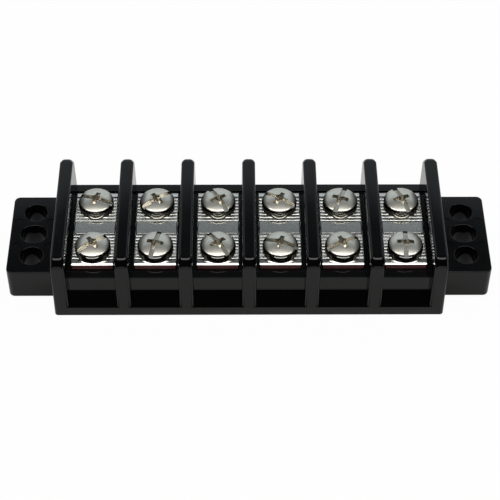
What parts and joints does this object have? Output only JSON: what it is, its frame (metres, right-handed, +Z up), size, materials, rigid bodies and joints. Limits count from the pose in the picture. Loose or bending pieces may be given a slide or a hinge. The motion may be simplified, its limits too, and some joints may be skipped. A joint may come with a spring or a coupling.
{
  "type": "barrier terminal strip",
  "caption": "Glossy moulded barrier strip: tall fins between bays with serrated terminal plates, slotted cross-recess screws in two rows, and drilled mounting ears.",
  "frame": {"origin": "middle of the underside", "axes": "+X along the strip, +Y towards the rear row of screws, +Z up from the mounting surface"},
  "size_m": [0.1358, 0.042, 0.0218],
  "materials": {
    "black_moulding": "glossy moulded thermoplastic",
    "tinned_copper": "tin plate over copper, serrated on top, bare copper on the sheared ends",
    "nickel_steel": "nickel-plated steel"
  },
  "bodies": {
    "strip": {"base": "black_moulding", "terminal_plate_1": "tinned_copper", "terminal_plate_2": "tinned_copper", "terminal_plate_3": "tinned_copper", "terminal_plate_4": "tinned_copper", "terminal_plate_5": "tinned_copper", "terminal_plate_6": "tinned_copper"},
    "screw_front_1": {"screw_front_1": "nickel_steel"},
    "screw_front_2": {"screw_front_2": "nickel_steel"},
    "screw_front_3": {"screw_front_3": "nickel_steel"},
    "screw_front_4": {"screw_front_4": "nickel_steel"},
    "screw_front_5": {"screw_front_5": "nickel_steel"},
    "screw_front_6": {"screw_front_6": "nickel_steel"},
    "screw_rear_1": {"screw_rear_1": "nickel_steel"},
    "screw_rear_2": {"screw_rear_2": "nickel_steel"},
    "screw_rear_3": {"screw_rear_3": "nickel_steel"},
    "screw_rear_4": {"screw_rear_4": "nickel_steel"},
    "screw_rear_5": {"screw_rear_5": "nickel_steel"},
    "screw_rear_6": {"screw_rear_6": "nickel_steel"}
  },
  "joints": [
    {"name": "screw_front_1_travel", "type": "slide", "parent": "strip", "child": "screw_front_1", "axis": [0, 0, 1], "range_m": [0, 0.0055]},
    {"name": "screw_front_2_travel", "type": "slide", "parent": "strip", "child": "screw_front_2", "axis": [0, 0, 1], "range_m": [0, 0.0055]},
    {"name": "screw_front_3_travel", "type": "slide", "parent": "strip", "child": "screw_front_3", "axis": [0, 0, 1], "range_m": [0, 0.0055]},
    {"name": "screw_front_4_travel", "type": "slide", "parent": "strip", "child": "screw_front_4", "axis": [0, 0, 1], "range_m": [0, 0.0055]},
    {"name": "screw_front_5_travel", "type": "slide", "parent": "strip", "child": "screw_front_5", "axis": [0, 0, 1], "range_m": [0, 0.0055]},
    {"name": "screw_front_6_travel", "type": "slide", "parent": "strip", "child": "screw_front_6", "axis": [0, 0, 1], "range_m": [0, 0.0055]},
    {"name": "screw_rear_1_travel", "type": "slide", "parent": "strip", "child": "screw_rear_1", "axis": [0, 0, 1], "range_m": [0, 0.0055]},
    {"name": "screw_rear_2_travel", "type": "slide", "parent": "strip", "child": "screw_rear_2", "axis": [0, 0, 1], "range_m": [0, 0.0055]},
    {"name": "screw_rear_3_travel", "type": "slide", "parent": "strip", "child": "screw_rear_3", "axis": [0, 0, 1], "range_m": [0, 0.0055]},
    {"name": "screw_rear_4_travel", "type": "slide", "parent": "strip", "child": "screw_rear_4", "axis": [0, 0, 1], "range_m": [0, 0.0055]},
    {"name": "screw_rear_5_travel", "type": "slide", "parent": "strip", "child": "screw_rear_5", "axis": [0, 0, 1], "range_m": [0, 0.0055]},
    {"name": "screw_rear_6_travel", "type": "slide", "parent": "strip", "child": "screw_rear_6", "axis": [0, 0, 1], "range_m": [0, 0.0055]}
  ]
}
